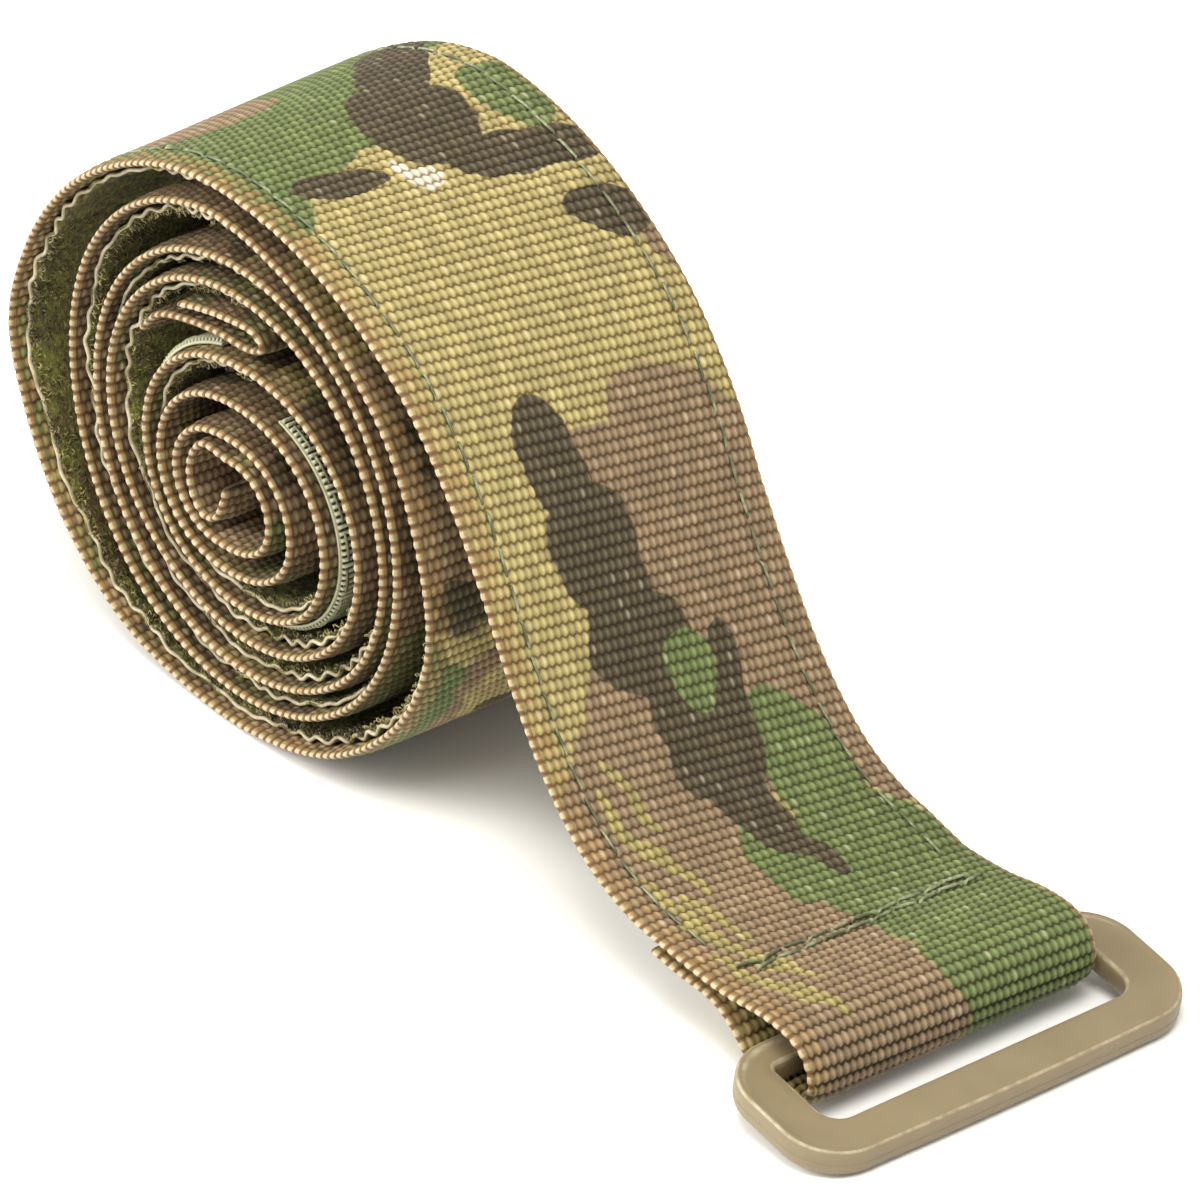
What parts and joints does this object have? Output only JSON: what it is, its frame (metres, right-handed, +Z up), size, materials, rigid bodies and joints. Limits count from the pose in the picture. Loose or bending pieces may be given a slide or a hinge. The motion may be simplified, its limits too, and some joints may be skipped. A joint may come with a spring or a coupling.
{
  "type": "rolled strap tourniquet",
  "caption": "Loosely rolled hook-and-loop webbing strap with a pull tab, sewn round the back bar of a moulded rectangular ring that its free end threads through.",
  "frame": {"origin": "on the surface the part rests on, under the middle of its bounding box", "axes": "+X is the way the strap leaves the roll towards the ring, Y is across the strap's width, +Z is up"},
  "size_m": [0.1494, 0.051, 0.0666],
  "materials": {
    "webbing": null,
    "pile": "fuzzy olive loop pile tape with a cream woven edge",
    "hook": "pale sage ribbed hook tape",
    "thread": "green nylon sewing thread",
    "ring": "coyote tan moulded nylon, satin"
  },
  "bodies": {
    "roll": {"webbing_roll": "webbing", "pile_tape_roll": "pile", "hook_tape": "hook", "hook_stitch_near": "thread", "hook_stitch_far": "thread", "edge_stitch_near_roll": "thread", "edge_stitch_far_roll": "thread", "pull_tab": "webbing"},
    "lead": {"webbing_lead": "webbing", "pile_tape_lead": "pile", "edge_stitch_near_lead": "thread", "edge_stitch_far_lead": "thread"},
    "end": {"webbing_end_loop": "webbing", "pile_tape_end": "pile", "edge_stitch_near_end": "thread", "edge_stitch_far_end": "thread", "cross_stitch_back": "thread", "cross_stitch_front": "thread"},
    "ring": {"ring": "ring"}
  },
  "joints": [
    {"name": "lead_flex", "type": "hinge", "parent": "roll", "child": "lead", "pos_m": [-0.02366, 0, 0.06456], "axis": [0, 1, 0], "range_deg": [-60, 8], "stiffness_Nm_per_rad": 0.4},
    {"name": "end_flex", "type": "hinge", "parent": "lead", "child": "end", "pos_m": [0.0255, 0, 0.01559], "axis": [0, 1, 0], "range_deg": [-30, 45], "stiffness_Nm_per_rad": 0.4},
    {"name": "ring_swing", "type": "hinge", "parent": "end", "child": "ring", "pos_m": [0.05802, 0, 0.00459], "axis": [0, 1, 0], "range_deg": [-140, 120]}
  ]
}
